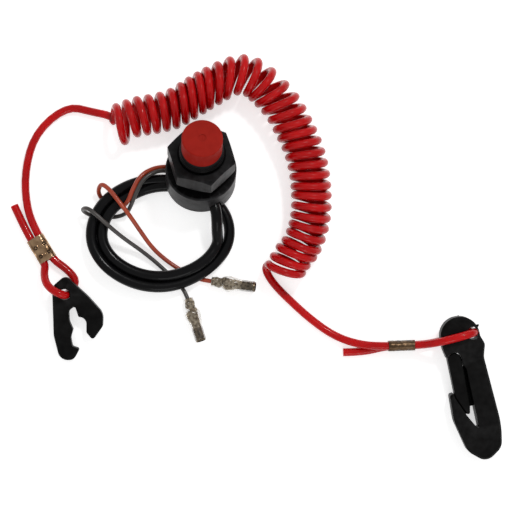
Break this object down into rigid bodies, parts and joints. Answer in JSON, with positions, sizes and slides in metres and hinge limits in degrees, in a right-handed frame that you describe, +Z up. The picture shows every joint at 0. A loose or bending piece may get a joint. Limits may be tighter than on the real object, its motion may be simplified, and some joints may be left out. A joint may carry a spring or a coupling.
{
  "type": "engine kill switch with lanyard",
  "caption": "Engine kill switch for motorbikes: round body, threaded barrel, hex nut, red button, sleeved wires with bullet sockets, and coiled red lanyard with fork clip and snap hook.",
  "frame": {"origin": "centre of the footprint of the switch, fork clip and snap hook, on the surface they lie on", "axes": "+Z up from the surface, +X from the fork clip towards the snap hook, +Y away from the viewer"},
  "size_m": [0.2073, 0.1706, 0.0445],
  "materials": {
    "black_plastic": "moulded, semi-matt",
    "red_plastic": "moulded, matt",
    "seal_rubber": "smooth",
    "spring_steel": "drawn wire and strip",
    "brass": "bright, pressed",
    "board": "laminate",
    "black_sleeve": "soft, glossy",
    "orange_insulation": "soft, semi-gloss",
    "grey_insulation": "soft, semi-gloss",
    "clear_soft_plastic": "translucent",
    "red_cord": "solid, glossy"
  },
  "bodies": {
    "switch_set": {"switch_housing": "black_plastic", "hex_nut": "black_plastic", "stem_seal": "seal_rubber", "return_spring": "spring_steel", "terminal_board": "board", "orange_terminal": "brass", "grey_terminal": "brass", "rear_cover": "black_plastic", "sleeve_lead": "black_sleeve", "sleeve_ring": "black_sleeve", "orange_wire": "orange_insulation", "grey_wire": "grey_insulation", "orange_receptacle": "brass", "grey_receptacle": "brass", "orange_connector_cover": "clear_soft_plastic", "grey_connector_cover": "clear_soft_plastic", "lanyard_fork_end": "red_cord", "lanyard_coil": "red_cord", "lanyard_hook_end": "red_cord", "fork_ferrule": "brass", "hook_ferrule": "brass", "fork_clip": "black_plastic", "snap_hook": "black_plastic"},
    "button": {"kill_button": "red_plastic", "moving_contact": "brass", "retaining_clip": "spring_steel"},
    "tongue": {"hook_gate": "black_plastic"}
  },
  "joints": [
    {"name": "button_pull", "type": "slide", "parent": "switch_set", "child": "button", "axis": [0.0499, 0.3549, 0.9336], "range_m": [0, 0.0045], "stiffness_N_per_m": 1200, "deforming": ["return_spring"]},
    {"name": "tongue_flex", "type": "hinge", "parent": "switch_set", "child": "tongue", "pos_m": [0.07447, -0.02778, 0.00686], "axis": [0.015, -0.0705, 0.9974], "range_deg": [0, 4], "stiffness_Nm_per_rad": 0.5}
  ]
}
